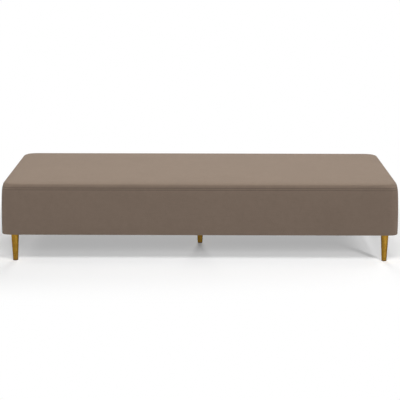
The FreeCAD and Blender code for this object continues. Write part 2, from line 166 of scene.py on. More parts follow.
# camera, as far from the divan and turned as in the photograph

view = {
    "place": (0.02193, -7.5563, 1.70625),
    "down": 0.19247,
    "turn": 0.00297,
    "roll": 0.00191,
    "focal": 1437.98,  # pixels, for a frame 400 wide
    "frame": 400,
    "sensor": 36.0,
}
aim = (
    Matrix.Rotation(view["turn"], 3, "Z")
    @ Matrix.Rotation(math.pi / 2 - view["down"], 3, "X")
    @ Matrix.Rotation(view["roll"], 3, "Z")
)
bpy.ops.object.camera_add(location=view["place"], rotation=aim.to_euler())
camera = bpy.context.active_object
camera.data.sensor_width = view["sensor"]
camera.data.lens = view["focal"] * view["sensor"] / view["frame"]
camera.data.clip_end = 200
bpy.context.scene.camera = camera
print("camera set")


# materials

class Signal:
    # a socket that can be used in a formula
    def __init__(self, finish, socket):
        self.finish = finish
        self.socket = socket

    def __add__(self, other):
        return self.finish.maths("ADD", self, other)

    def __sub__(self, other):
        return self.finish.maths("SUBTRACT", self, other)

    def __rsub__(self, other):
        return self.finish.maths("SUBTRACT", other, self)

    def __mul__(self, other):
        return self.finish.maths("MULTIPLY", self, other)

    def __truediv__(self, other):
        return self.finish.maths("DIVIDE", self, other)

    __radd__ = __add__
    __rmul__ = __mul__


class Finish:
    # one material and the means to build it
    def __init__(self, name, **constants):
        self.material = bpy.data.materials.new(name)
        self.material.use_nodes = True
        self.tree = self.material.node_tree
        self.shader = self.tree.nodes["Principled BSDF"]
        for socket, value in constants.items():
            self.shader.inputs[socket.replace("_", " ")].default_value = value

    def node(self, kind, settings=None, sockets=None, output=0):
        made = self.tree.nodes.new(kind)
        for name, value in (settings or {}).items():
            setattr(made, name, value)
        for name, value in (sockets or {}).items():
            self.feed(made.inputs[name], value)
        return Signal(self, made.outputs[output])

    def feed(self, socket, value):
        if isinstance(value, Signal):
            self.tree.links.new(value.socket, socket)
        elif hasattr(value, "__len__") and len(value) == 3 and socket.type == "RGBA":
            socket.default_value = (*value, 1)
        else:
            socket.default_value = value

    def maths(self, operation, first, second=0.0):
        return self.node("ShaderNodeMath", {"operation": operation}, {0: first, 1: second})

    def blend(self, factor, first, second):
        # from the first colour to the second
        return self.node("ShaderNodeMix", {"data_type": "RGBA"}, {0: factor, 6: first, 7: second}, 2)

    def shaded(self, colour, amount):
        # a colour made lighter or darker by a factor
        grey = self.node("ShaderNodeCombineXYZ", {}, {0: amount, 1: amount, 2: amount})
        return self.node("ShaderNodeVectorMath", {"operation": "MULTIPLY"}, {0: colour, 1: grey})

    def place(self, scale=(1, 1, 1), turn=(0, 0, 0)):
        # object coordinates, stretched and turned
        here = self.node("ShaderNodeTexCoord", {}, {}, "Object")
        return self.node("ShaderNodeMapping", {}, {"Vector": here, "Scale": scale, "Rotation": turn})

    def noise(self, where, scale, detail=3.0, roughness=0.5):
        sockets = {"Vector": where, "Scale": scale, "Detail": detail, "Roughness": roughness}
        return self.node("ShaderNodeTexNoise", {}, sockets)

    def part(self, where, axis):
        # one coordinate of a place
        return self.node("ShaderNodeSeparateXYZ", {}, {"Vector": where}, axis)

    def spread(self, value, low, high, newLow=0.0, newHigh=1.0):
        # maps a range of a value to a new one
        sockets = {0: value, 1: low, 2: high, 3: newLow, 4: newHigh}
        return self.node("ShaderNodeMapRange", {"clamp": True}, sockets)

    def bump(self, height, distance, strength=1.0, under=None):
        sockets = {"Height": height, "Distance": distance, "Strength": strength}
        if under:
            sockets["Normal"] = under
        return self.node("ShaderNodeBump", {}, sockets)

    def done(self, **sockets):
        for name, value in sockets.items():
            self.feed(self.shader.inputs[name.replace("_", " ")], value)
        return self.material


topstitch = (0.3896, 0.3795)  # levels of the two rows of stitches


def coverFabric():
    # plain tight weave of a warm grey yarn, a little lighter and darker from thread to thread
    look = {
        "colour": (0.331, 0.252, 0.198),
        # the darker yarn colour is painted shade, laid in the hollows of the weave between the raised threads
        "hollowShadeYarn": (0.269, 0.202, 0.156),
        "pitch": 0.0011,  # thread to thread, in metres
        "bumpHeight": 0.00016,
        "stitch": 0.0045,  # stitch to stitch
        "stitchRow": (0.0012, 0.0006),  # half width of a row, at its faint edge and where it is full
        # how dark the painted shade along each row of stitches is
        "stitchRowShade": 0.6,
        "stitchHeight": 0.0005,
    }
    cloth = Finish("coverFabric", Roughness=0.86, Sheen_Weight=0.04, Sheen_Roughness=0.45)
    cloth.shader.inputs["Specular IOR Level"].default_value = 0.15
    mapped = cloth.node("ShaderNodeUVMap", {"uv_map": "weave"})
    u = cloth.part(mapped, 0) / look["pitch"]
    v = cloth.part(mapped, 1) / look["pitch"]
    uThread = cloth.maths("FLOOR", u)
    vThread = cloth.maths("FLOOR", v)
    uRound = cloth.maths("ABSOLUTE", cloth.maths("SINE", u * math.pi))
    vRound = cloth.maths("ABSOLUTE", cloth.maths("SINE", v * math.pi))
    warpLift = cloth.maths("COSINE", (v - 0.5 + uThread) * math.pi)
    weftLift = cloth.maths("COSINE", (u + 0.5 + vThread) * math.pi)
    warp = uRound * (warpLift * 0.42 + 0.58)
    weft = vRound * (weftLift * 0.42 + 0.58)
    weave = cloth.maths("MAXIMUM", warp, weft)
    # yarn: long streaks along each thread, and slow clouds over the whole cloth
    alongWarp = cloth.node("ShaderNodeCombineXYZ", {}, {0: uThread, 1: v * 0.04, 2: 0.0})
    alongWeft = cloth.node("ShaderNodeCombineXYZ", {}, {0: u * 0.04, 1: vThread, 2: 7.0})
    warpTone = cloth.node("ShaderNodeTexNoise", {}, {"Vector": alongWarp, "Scale": 0.9, "Detail": 2.0})
    weftTone = cloth.node("ShaderNodeTexNoise", {}, {"Vector": alongWeft, "Scale": 0.9, "Detail": 2.0})
    warpOnTop = cloth.maths("GREATER_THAN", warp, weft)
    yarnTone = warpOnTop * warpTone + (1 - warpOnTop) * weftTone
    clouds = cloth.noise(cloth.place(), 5.0, 4.0)
    patches = cloth.noise(cloth.place((1, 1, 1), (0.3, 0.2, 0.5)), 38.0, 3.0)
    # two rows of topstitching round the walls, each row painted darker as shade in its groove, a little less on
    # the thread dashes
    level = cloth.part(cloth.place(), 2)
    far, near = look["stitchRow"]
    rows = [cloth.spread(cloth.maths("ABSOLUTE", level - line), far, near) for line in topstitch]
    sewn = rows[0] + rows[1]
    run = cloth.maths("SINE", cloth.part(mapped, 0) * (2 * math.pi / look["stitch"]))
    thread = sewn * cloth.spread(run, -0.75, -0.45)
    uneven = yarnTone * 0.34 + clouds * 0.1 + patches * 0.12 + 0.72
    # painted shade along the rows of stitches, lifted a little on the thread dashes
    tone = uneven * (1 - (sewn - thread * 0.4) * look["stitchRowShade"])
    # painted shade: the yarn turns to the darker colour in the hollows of the weave, where the threads dip
    hollowShadeMask = cloth.spread(weave, 0.25, 0.8)
    yarn = cloth.blend(hollowShadeMask, look["hollowShadeYarn"], look["colour"])
    colour = cloth.shaded(yarn, tone)
    fuzz = cloth.noise(cloth.place(), 2600.0, 2.0)
    normal = cloth.bump(weave * 0.85 + fuzz * 0.3, look["bumpHeight"], 0.7)
    normal = cloth.bump(thread - sewn * 0.8, look["stitchHeight"], 0.6, normal)
    return cloth.done(Base_Color=colour, Roughness=yarnTone * 0.12 + 0.8, Normal=normal)


def brassFinish():
    # satin brass, polished along the leg
    look = {
        "colour": (0.49, 0.278, 0.042),
        "dark": (0.37, 0.195, 0.026),
        "worn": (0.34, 0.2, 0.06),
        "roughness": 0.27,
    }
    brass = Finish("legBrass", Metallic=1.0)
    brass.shader.inputs["Specular Tint"].default_value = (0.15, 0.09, 0.03, 1)  # darker where it turns away
    streaks = brass.noise(brass.place((900, 900, 6)), 1.0, 4.0, 0.6)
    fine = brass.noise(brass.place((2600, 2600, 14), (0, 0, 0.4)), 1.0, 2.0)
    cloud = brass.noise(brass.place(), 24.0, 3.0)
    height = brass.part(brass.place(), 2)
    footWear = brass.spread(height, 0.02, 0.004)
    tint = brass.spread(cloud * 0.5 + streaks * 0.5, 0.35, 0.65)
    colour = brass.blend(tint, look["dark"], look["colour"])
    colour = brass.blend(footWear * 0.35, colour, look["worn"])
    rough = streaks * 0.10 + cloud * 0.08 + (look["roughness"] - 0.09) + footWear * 0.1
    normal = brass.bump(streaks * 0.6 + fine * 0.4, 0.00002, 0.6)
    return brass.done(Base_Color=colour, Roughness=rough, Normal=normal)


def nylonFinish():
    nylon = Finish("glideNylon", Roughness=0.55)
    grain = nylon.noise(nylon.place(), 1400.0, 3.0)
    scuff = nylon.noise(nylon.place((60, 500, 60)), 1.0, 4.0)
    worn = nylon.spread(nylon.part(nylon.place(), 2), 0.0012, 0.0) * scuff
    colour = nylon.blend(worn, (0.012, 0.011, 0.010), (0.06, 0.055, 0.05))
    rough = grain * 0.2 + worn * 0.25 + 0.4
    return nylon.done(Base_Color=colour, Roughness=rough, Normal=nylon.bump(grain, 0.00004, 0.5))


def dustClothFinish():
    # black spun-bonded cloth with its small pressed points
    cloth = Finish("dustCloth", Roughness=0.9)
    fibres = cloth.noise(cloth.place((700, 260, 400)), 1.0, 5.0, 0.7)
    grid = {"Vector": cloth.place(), "Scale": 420.0, "Randomness": 0.1}
    points = cloth.node("ShaderNodeTexVoronoi", {"feature": "F1"}, grid)
    pressed = cloth.spread(points, 0.18, 0.34)
    clouds = cloth.noise(cloth.place(), 9.0, 3.0)
    tone = fibres * 0.6 + pressed * 0.3 + clouds * 0.4
    colour = cloth.blend(tone, (0.006, 0.006, 0.007), (0.028, 0.028, 0.03))
    normal = cloth.bump(pressed * 0.7 + fibres * 0.5, 0.0002, 0.8)
    return cloth.done(Base_Color=colour, Roughness=1 - pressed * 0.25, Normal=normal)


def timberFinish(name, turn, light=(0.55, 0.36, 0.18), dark=(0.36, 0.2, 0.085)):
    # planed softwood, its grain along the piece
    wood = Finish(name, Roughness=0.6)
    where = wood.place((1, 9, 9), turn)
    wander = wood.noise(where, 2.2, 3.0)
    level = wood.part(wood.place((1, 1, 1), turn), 2)
    side = wood.part(wood.place((1, 1, 1), turn), 1)
    rings = wood.maths("SINE", (level + side * 0.35) * 900 + wander * 26)
    fibre = wood.noise(wood.place((10, 900, 900), turn), 1.0, 3.0, 0.65)
    late = wood.spread(rings, -0.2, 1.0)
    grain = late * 0.62 + fibre * 0.38
    colour = wood.blend(grain, light, dark)
    knots = wood.node("ShaderNodeTexVoronoi", {}, {"Vector": wood.place((2.2, 7, 7), turn), "Scale": 1.0})
    colour = wood.blend(wood.spread(knots, 0.075, 0.03), colour, (0.12, 0.05, 0.02))
    normal = wood.bump(fibre * 0.7 + late * 0.5, 0.0003, 0.5)
    return wood.done(Base_Color=colour, Roughness=fibre * 0.25 + 0.48, Normal=normal)


def plywoodFinish():
    # birch plies, dark glue lines on the cut edges
    look = {"underside": 0.1515, "sheet": 0.0018}
    ply = Finish("plywood", Roughness=0.6)
    count = (ply.part(ply.place(), 2) - look["underside"]) / look["sheet"]
    glue = ply.spread(ply.maths("FRACT", count), 0.14, 0.04)
    layer = ply.maths("MODULO", ply.maths("FLOOR", count), 2.0)
    grainX = ply.noise(ply.place((12, 420, 420)), 1.0, 4.0, 0.6)
    grainY = ply.noise(ply.place((420, 12, 420)), 1.0, 4.0, 0.6)
    grain = layer * grainX + (1 - layer) * grainY
    colour = ply.blend(grain, (0.56, 0.38, 0.2), (0.38, 0.23, 0.11))
    colour = ply.blend(glue, colour, (0.09, 0.05, 0.03))
    return ply.done(Base_Color=colour, Roughness=grain * 0.2 + 0.5, Normal=ply.bump(grain - glue, 0.0002, 0.5))


def steelFinish(name, colour, dark, grain):
    metal = Finish(name, Metallic=1.0)
    spangle = metal.node("ShaderNodeTexVoronoi", {}, {"Vector": metal.place(), "Scale": grain}, 1)
    tone = metal.noise(metal.place(), grain * 0.8, 4.0)
    scratches = metal.noise(metal.place((90, 1500, 700), (0.4, 0.3, 0.2)), 1.0, 3.0)
    split = metal.part(spangle, 0)
    shade = metal.blend(tone * 0.6 + split * 0.3, dark, colour)
    rough = tone * 0.2 + scratches * 0.15 + 0.2
    return metal.done(Base_Color=shade, Roughness=rough, Normal=metal.bump(scratches + split * 0.3, 0.00004, 0.4))


def webbingFinish():
    # elastic webbing: herringbone ribs and two lighter stripes
    web = Finish("webbing", Roughness=0.8)
    look = {"ribs": 3100, "herringbone": 0.005, "stripe": 0.02, "stripeEdge": (0.0026, 0.0022)}
    mapped = web.node("ShaderNodeUVMap", {"uv_map": "weave"})
    across, along = web.part(mapped, 0), web.part(mapped, 1)
    fold = web.maths("PINGPONG", across, look["herringbone"])
    ribs = web.maths("SINE", (along + fold) * look["ribs"])
    beside = web.maths("ABSOLUTE", web.maths("ABSOLUTE", across) - look["stripe"])
    stripe = web.spread(beside, *look["stripeEdge"])
    dust = web.noise(web.place(), 60.0, 4.0)
    base = web.blend(ribs * 0.3 + dust * 0.5, (0.015, 0.014, 0.013), (0.06, 0.055, 0.05))
    colour = web.blend(stripe, base, web.blend(dust, (0.36, 0.06, 0.04), (0.46, 0.1, 0.06)))
    return web.done(Base_Color=colour, Roughness=dust * 0.2 + 0.7, Normal=web.bump(ribs, 0.0003, 0.8))


def fibreFinish(name, light, dark, scale, bump):
    # felt and wadding: tangled fibres in all directions
    roughness = 0.93
    mat = Finish(name, Roughness=roughness)
    tangle = mat.noise(mat.place(), scale, 8.0, 0.75)
    strands = mat.noise(mat.place((scale * 0.3, scale * 1.9, scale), (0.5, 0.2, 0.9)), 1.0, 4.0, 0.7)
    clouds = mat.noise(mat.place(), 12.0, 3.0)
    tone = mat.spread(tangle * 0.5 + strands * 0.3 + clouds * 0.2, 0.35, 0.65)
    colour = mat.blend(tone, dark, light)
    normal = mat.bump(tangle * 0.7 + strands * 0.6, bump, 0.8)
    return mat.done(Base_Color=colour, Roughness=roughness - tone * 0.08, Normal=normal)


def foamFinish():
    # open-celled foam, cream, a little yellowed in patches
    foam = Finish("foam", Roughness=0.92)
    small = {"Vector": foam.place(), "Scale": 620.0}
    cells = foam.node("ShaderNodeTexVoronoi", {"feature": "DISTANCE_TO_EDGE"}, small)
    pores = foam.node("ShaderNodeTexVoronoi", {}, {"Vector": foam.place(), "Scale": 260.0})
    clouds = foam.noise(foam.place(), 6.0, 4.0)
    hollowShadeMask = foam.spread(cells, 0.02, 0.16) * 0.6 + foam.spread(pores, 0.5, 0.1) * 0.4
    skin = foam.blend(clouds, (0.68, 0.6, 0.4), (0.72, 0.66, 0.5))
    # painted shade: the cells and pores are darkened towards brown, as shade in their hollows
    colour = foam.blend(hollowShadeMask * 0.5, skin, (0.38, 0.32, 0.2))
    return foam.done(Base_Color=colour, Roughness=0.95 - hollowShadeMask * 0.1, Normal=foam.bump(1 - hollowShadeMask, 0.0007, 0.8))


def floorFinish():
    # pale studio floor: white to the camera and in reflections, and it keeps the shadow
    look = {
        # the glow is plain white emission: near the divan it is painted light that lifts the cast shadow, further
        # out it turns the floor all white
        "glow": 0.2,  # how much of the plain white shows close to the divan
        "halfX": 1.0,
        "halfY": 0.5,
        "fade": (0.1, 0.8),  # from the first distance to the second, all of it shows
        "paint": (0.97, 0.97, 0.97),
        "bounce": (0.42, 0.415, 0.41),  # what the floor throws back on to the divan
    }
    floor = Finish("studioFloor", Roughness=0.9)
    floor.shader.inputs["Specular IOR Level"].default_value = 0.0
    rays = floor.tree.nodes.new("ShaderNodeLightPath")
    toCamera = Signal(floor, rays.outputs["Is Camera Ray"])
    direct = toCamera
    for other in ("Is Glossy Ray", "Is Transmission Ray"):
        direct = floor.maths("MAXIMUM", direct, Signal(floor, rays.outputs[other]))
    tone = floor.noise(floor.place(), 0.6, 3.0) * 0.004 + 0.998
    colour = floor.blend(toCamera, look["bounce"], look["paint"])
    floor.done(Base_Color=floor.shaded(colour, tone))
    glow = floor.node("ShaderNodeEmission", {}, {"Color": (1, 1, 1), "Strength": 1.0})
    clear = floor.node("ShaderNodeBsdfTransparent")
    painted = Signal(floor, floor.shader.outputs[0])
    away = []
    for axis, half in ((0, look["halfX"]), (1, look["halfY"])):
        side = floor.maths("ABSOLUTE", floor.part(floor.place(), axis))
        past = floor.maths("MAXIMUM", side - half, 0.0)
        away.append(past * past)
    distance = floor.maths("SQRT", away[0] + away[1])
    start, end = look["fade"]
    # painted light: the white glow is mixed into what the camera and reflections see, a fifth of it near the
    # divan
    span = {0: distance, 1: start, 2: end, 3: look["glow"], 4: 1.0}
    fade = floor.node("ShaderNodeMapRange", {"interpolation_type": "SMOOTHSTEP"}, span)
    seen = floor.node("ShaderNodeMixShader", {}, {0: direct * fade, 1: painted, 2: glow})
    back = floor.node("ShaderNodeNewGeometry", {}, {}, "Backfacing")
    clearBelow = floor.node("ShaderNodeMixShader", {}, {0: back * direct, 1: seen, 2: clear})
    floor.feed(floor.tree.nodes["Material Output"].inputs["Surface"], clearBelow)
    return floor.material


finishes = {
    "fabric": coverFabric(),
    "brass": brassFinish(),
    "nylon": nylonFinish(),
    "dustCloth": dustClothFinish(),
    "timberAlong": timberFinish("timberAlong", (0, 0, 0)),
    "timberAcross": timberFinish("timberAcross", (0, 0, math.pi / 2)),
    "timberUpright": timberFinish("timberUpright", (0, math.pi / 2, 0)),
    "beech": timberFinish("dowelBeech", (0, 0, math.pi / 2), (0.62, 0.43, 0.24), (0.46, 0.29, 0.15)),
    "plywood": plywoodFinish(),
    "zinc": steelFinish("zincSteel", (0.62, 0.62, 0.6), (0.4, 0.41, 0.42), 240.0),
    "wire": steelFinish("stapleWire", (0.6, 0.6, 0.6), (0.42, 0.42, 0.42), 900.0),
    "webbing": webbingFinish(),
    "felt": fibreFinish("feltPad", (0.22, 0.22, 0.235), (0.1, 0.1, 0.11), 320.0, 0.0008),
    "wadding": fibreFinish("waddingFleece", (0.86, 0.86, 0.84), (0.68, 0.68, 0.66), 180.0, 0.002),
    "foam": foamFinish(),
}
print("materials made")


# the sewn cover

cover = {
    "halfX": 1.0,
    "halfY": 0.5,
    "underside": 0.15,
    "seam": 0.4065,
    "corner": 0.048,
    "rearSeam": 0.44,
    "rimSteps": (0.003, 0.007, 0.012, 0.02, 0.03),  # grid lines this far in from the walls
    "cell": 0.025,
    "hem": 0.03,
    "hemRounding": 0.0028,
    "widest": 0.215,  # level at which the walls stand out most
    "lean": {"ends": 0.0062, "sides": 0.003},  # the walls stand in by this at the seam
    "lip": (0.0065, 0.0058),  # depth and reach of the rounding just below the seam
    "groove": (0.0003, 0.0016),  # depth and half width of the groove along each row of stitches
    "pull": {"region": 0.09, "radius": 0.085, "from": 0.362},  # the top corners are pulled rounder
    "tuck": 0.0004,  # the walls draw in by this at the underside
    "panelRise": 0.0031,  # the panel's edge rounds up by this
    "panelReach": 0.0095,
    "crown": 0.0052,
    "shoulder": 4,  # the larger, the flatter the seat and the rounder its long edges
    "thickness": 0.0012,
    "foldStep": 0.004,  # grid lines this far from the rear seams
    "turnIn": 0.0032,  # seam allowance that shows in the crease
    "swell": 0.0016,  # how far the filling may press the cloth out
}
hair = 1e-5  # points that lie closer than this are at the same place


def roundCorner(x, y):
    # bends the grid's square corners round, ring by ring
    a = abs(x) - (cover["halfX"] - cover["corner"])
    b = abs(y) - (cover["halfY"] - cover["corner"])
    if a <= 0 or b <= 0:
        return x, y
    reach = max(a, b)
    turn = math.pi / 4 * min(a, b) / reach
    along, across = reach * math.cos(turn), reach * math.sin(turn)
    a, b = (along, across) if a >= b else (across, along)
    return (
        math.copysign(cover["halfX"] - cover["corner"] + a, x),
        math.copysign(cover["halfY"] - cover["corner"] + b, y),
    )


def depthOf(x, y):
    # how far a point of the plan lies inside the outline
    a = abs(x) - (cover["halfX"] - cover["corner"])
    b = abs(y) - (cover["halfY"] - cover["corner"])
    if a > 0 and b > 0:
        return cover["corner"] - math.hypot(a, b)
    return min(cover["halfX"] - abs(x), cover["halfY"] - abs(y))


def outwardAt(x, y):
    # the direction square to the nearest wall
    a = abs(x) - (cover["halfX"] - cover["corner"])
    b = abs(y) - (cover["halfY"] - cover["corner"])
    if a > 0 and b > 0:
        size = math.hypot(a, b)
        return Vector((math.copysign(a / size, x), math.copysign(b / size, y), 0))
    if cover["halfX"] - abs(x) < cover["halfY"] - abs(y):
        return Vector((math.copysign(1, x), 0, 0))
    return Vector((0, math.copysign(1, y), 0))


def wallInset(z, out):
    # how far the wall that faces this way stands in at a level
    if z < cover["widest"]:
        share = (cover["widest"] - z) / (cover["widest"] - cover["underside"])
        return cover["tuck"] * share * share
    share = (z - cover["widest"]) / (cover["seam"] - cover["widest"])
    depth, reach = cover["lip"]
    lean = cover["lean"]["ends"] * out.x ** 2 + cover["lean"]["sides"] * out.y ** 2
    groove, width = cover["groove"]
    sewn = sum(groove * math.exp(-(((z - line) / width) ** 2)) for line in topstitch)
    return lean * share * share + depth * math.exp((z - cover["seam"]) / reach) + sewn


def shapeCover(piece):
    rounding = cover["hemRounding"]
    for vertex in piece.data.vertices:
        x, y, z = vertex.co
        x, y = roundCorner(x, y)
        depth = depthOf(x, y)
        out = outwardAt(x, y)
        if z > cover["seam"] - hair:  # the top panel
            fade = max(0.0, 1 - depth / cover["corner"])
            inset = wallInset(cover["seam"], out) * fade * fade
            rise = cover["panelRise"] * (1 - math.exp(-depth / cover["panelReach"]))
            acrossDome = 1 - abs(y / cover["halfY"]) ** cover["shoulder"]
            alongDome = 1 - (x / cover["halfX"]) ** 2
            z += rise + cover["crown"] * acrossDome * (0.12 + 0.88 * alongDome)
        elif z < cover["underside"] + hair:  # the hem, from the bend inwards
            angle = math.pi / 4 * max(0.0, 1 - depth / 0.007)
            inset = max(rounding * (1 - math.sin(angle)) - depth, 0.0) + wallInset(z, out)
            z = cover["underside"] + rounding * (1 - math.cos(angle))
        elif z < cover["underside"] + rounding:
            angle = math.pi / 4 * (1 + (z - cover["underside"]) / rounding)
            inset = rounding * (1 - math.sin(angle)) + wallInset(z, out)
            z = cover["underside"] + rounding * (1 - math.cos(angle))
        else:
            inset = wallInset(z, out)
        vertex.co = Vector((x, y, z)) - out * inset


def buildCover():
    hx, hy = cover["halfX"], cover["halfY"]
    low = (-hx, -hy, cover["underside"])
    piece = newBox("coverCloth", low, (hx, hy, cover["seam"]))
    startEdit(piece)
    cx, cy = hx - cover["corner"], hy - cover["corner"]
    xLines = evenly(-cx, cx, cover["cell"]) + [s * (hx - d) for s in (-1, 1) for d in cover["rimSteps"]]
    rear, step = cover["rearSeam"], cover["foldStep"]
    yLines = evenly(-cy, rear - step, cover["cell"]) + [rear, rear + step, cy]
    yLines += [s * (hy - d) for s in (-1, 1) for d in cover["rimSteps"]]
    zLines = [cover["underside"] + d for d in (0.0015, 0.0035, 0.006, 0.013)]
    zLines += evenly(cover["underside"] + 0.025, topstitch[1] - 0.012, cover["cell"])
    zLines += [line + d for line in topstitch for d in (-0.0032, -0.0014, 0, 0.0014, 0.0032)]
    zLines += [cover["seam"] - d for d in (0.0105, 0.0078, 0.0055, 0.0035, 0.0018, 0.0007)]
    sliceAt(0, xLines)
    sliceAt(1, yLines)
    sliceAt(2, zLines)
    innerX, innerY = hx - cover["hem"], hy - cover["hem"]

    def insideHem(face):
        x, y, z = middleOf(face)
        return z < cover["underside"] + hair and abs(x) < innerX and abs(y) < innerY

    pick(piece, "faces", insideHem)
    bpy.ops.mesh.delete(type="FACE")
    endEdit()
    return piece


def isSewn(point):
    # on a seam, on a row of stitches or on the hem
    x, y, z = point
    if z > cover["seam"] - hair:
        return min(cover["halfX"] - abs(x), cover["halfY"] - abs(y)) < hair
    stitched = min(abs(z - line) for line in topstitch) < hair
    return stitched or z < cover["underside"] + hair or abs(y - cover["rearSeam"]) < hair


coverCloth = buildCover()
sewnDown = [v.index for v in coverCloth.data.vertices if isSewn(v.co)]
shapeCover(coverCloth)
print("cover shaped,", len(coverCloth.data.vertices), "points")


def inflate(piece, held, cap):
    # the filling presses the cloth out between its seams, no further than the cap
    press = {"pressure": 4.0, "frames": 20, "mass": 0.3, "stretch": 40, "shear": 25, "bending": 4, "quality": 6}
    start = [v.co.copy() for v in piece.data.vertices]
    group = piece.vertex_groups.new(name="held")
    group.add(held, 1.0, "REPLACE")
    onlySelect(piece)
    cloth = piece.modifiers.new("cloth", "CLOTH")
    settings = cloth.settings
    settings.quality = press["quality"]
    settings.mass = press["mass"]
    settings.tension_stiffness = settings.compression_stiffness = press["stretch"]
    settings.shear_stiffness = press["shear"]
    settings.bending_stiffness = press["bending"]
    settings.vertex_group_mass = "held"
    settings.use_pressure = True
    settings.uniform_pressure_force = press["pressure"]
    settings.effector_weights.gravity = 0
    for number in range(1, press["frames"] + 1):
        bpy.context.scene.frame_set(number)
    bpy.ops.object.modifier_apply(modifier=cloth.name)
    bpy.context.scene.frame_set(1)
    for vertex, rest in zip(piece.data.vertices, start):
        move = vertex.co - rest
        if move.length > 1e-9:
            vertex.co = rest + move * (cap * math.tanh(move.length / cap) / move.length)
    piece.vertex_groups.clear()


inflate(coverCloth, sewnDown, cover["swell"])
print("cover filled")


def cornerReach(angle, radius):
    # from the inner point of the corner region out to a corner of this radius
    size = cover["pull"]["region"]
    away = abs(angle - math.pi / 4)
    if math.tan(math.pi / 4 - away) * size <= size - radius:
        return size / math.cos(math.pi / 4 - away)
    step = math.sqrt(2) * (size - radius)
    return step * math.cos(away) + math.sqrt(radius ** 2 - (step * math.sin(away)) ** 2)


def pullCorners(piece):
    # a tight cover rounds the corners more and more towards the top
    pull = cover["pull"]
    for vertex in piece.data.vertices:
        x, y, z = vertex.co
        a = abs(x) - (cover["halfX"] - pull["region"])
        b = abs(y) - (cover["halfY"] - pull["region"])
        share = (z - pull["from"]) / (cover["seam"] - pull["from"])
        if a <= 0 or b <= 0 or share <= 0:
            continue
        radius = cover["corner"] + (pull["radius"] - cover["corner"]) * min(share, 1.0) ** 2
        angle = math.atan2(b, a)
        scale = cornerReach(angle, radius) / cornerReach(angle, cover["corner"])
        vertex.co.x = math.copysign(cover["halfX"] - pull["region"] + a * scale, x)
        vertex.co.y = math.copysign(cover["halfY"] - pull["region"] + b * scale, y)


pullCorners(coverCloth)
lining = copyOf(coverCloth, "waddingWrap")


def alongWall(x, y):
    # length along the wall from the middle of the front
    cx, cy = cover["halfX"] - cover["corner"], cover["halfY"] - cover["corner"]
    quarter = cover["corner"] * math.pi / 2
    a, side = abs(x), math.copysign(1, x)
    if a <= cx and y < 0:
        way = a
    elif y < -cy:
        way = cx + cover["corner"] * math.atan2(a - cx, -cy - y)
    elif y <= cy or a <= cx:
        way = cx + quarter + (y + cy)
    else:
        way = cx + quarter + 2 * cy + cover["corner"] * math.atan2(y - cy, a - cx)
    return side * way


def mapBand(piece, facing):
    # the weave runs level round the wall; facing is -1 for the front and the ends, 1 for the rear
    layer = piece.data.uv_layers.new(name="weave")
    points = piece.data.vertices
    for loop in piece.data.loops:
        x, y, z = points[loop.vertex_index].co
        rise = z - (depthOf(x, y) if z < cover["underside"] + 0.001 else 0.0)
        layer.data[loop.index].uv = (alongWall(x, -y * facing), rise)


def mapPanel(piece):
    layer = piece.data.uv_layers.new(name="weave")
    points = piece.data.vertices
    for loop in piece.data.loops:
        layer.data[loop.index].uv = points[loop.vertex_index].co.xy


def cutOut(source, name, test):
    # takes the faces that pass the test off into a piece of their own
    startEdit(source)
    pick(source, "faces", test)
    before = set(bpy.data.objects)
    bpy.ops.mesh.separate(type="SELECTED")
    endEdit()
    piece = (set(bpy.data.objects) - before).pop()
    piece.name = piece.data.name = name
    return piece


def turnIn(piece, test, move):
    # folds the border edges that pass the test into the crease
    startEdit(piece, "EDGE")
    pick(piece, "edges", lambda e: e.is_boundary and test(middleOf(e)))
    bpy.ops.mesh.extrude_edges_move()
    mesh = bmesh.from_edit_mesh(piece.data)
    for vertex in mesh.verts:
        if vertex.select:
            vertex.co += move(vertex.co)
    bmesh.update_edit_mesh(piece.data)
    endEdit()


def facesUp(face):
    return face.normal.z > 0.6 and all(v.co.z > cover["seam"] - 0.0011 for v in face.verts)


def behindSeam(face):
    return all(v.co.y > cover["rearSeam"] - hair for v in face.verts)


coverPanel = cutOut(coverCloth, "coverPanel", facesUp)
coverRear = cutOut(coverCloth, "coverRear", behindSeam)
coverBand = coverCloth
coverBand.name = coverBand.data.name = "coverBand"
mapPanel(coverPanel)
mapBand(coverBand, -1)
mapBand(coverRear, 1)


def nearSeam(point):
    return point.z > cover["seam"] - 0.002


def onRearSeam(point):
    return abs(point.y - cover["rearSeam"]) < 0.003 and point.z < cover["seam"] - 0.002


def panelFold(point):
    return -outwardAt(point.x, point.y) * cover["turnIn"] * 0.75 + Vector((0, 0, -cover["turnIn"] * 0.55))


def bandFold(point):
    return -outwardAt(point.x, point.y) * cover["turnIn"] * 0.6 + Vector((0, 0, -cover["turnIn"] * 0.75))


def uprightFold(way):
    return lambda point: Vector((-math.copysign(cover["turnIn"], point.x), way * 0.0004, 0))


turnIn(coverPanel, nearSeam, panelFold)
for piece, way in ((coverBand, -1), (coverRear, 1)):
    turnIn(piece, nearSeam, bandFold)
    turnIn(piece, onRearSeam, uprightFold(way))
for piece in (coverPanel, coverBand, coverRear):
    applied(piece, "SOLIDIFY", thickness=cover["thickness"], offset=-1.0)
    applied(piece, "SUBSURF", levels=1, render_levels=1)
    onlySelect(piece)
    bpy.ops.object.shade_smooth()

finished(coverPanel, finishes["fabric"], ["cover_top_panel"])
finished(coverBand, finishes["fabric"], ["cover_front_band"])
finished(coverRear, finishes["fabric"], ["cover_rear_band"])
print("cover sewn")


# soft layers inside the cover

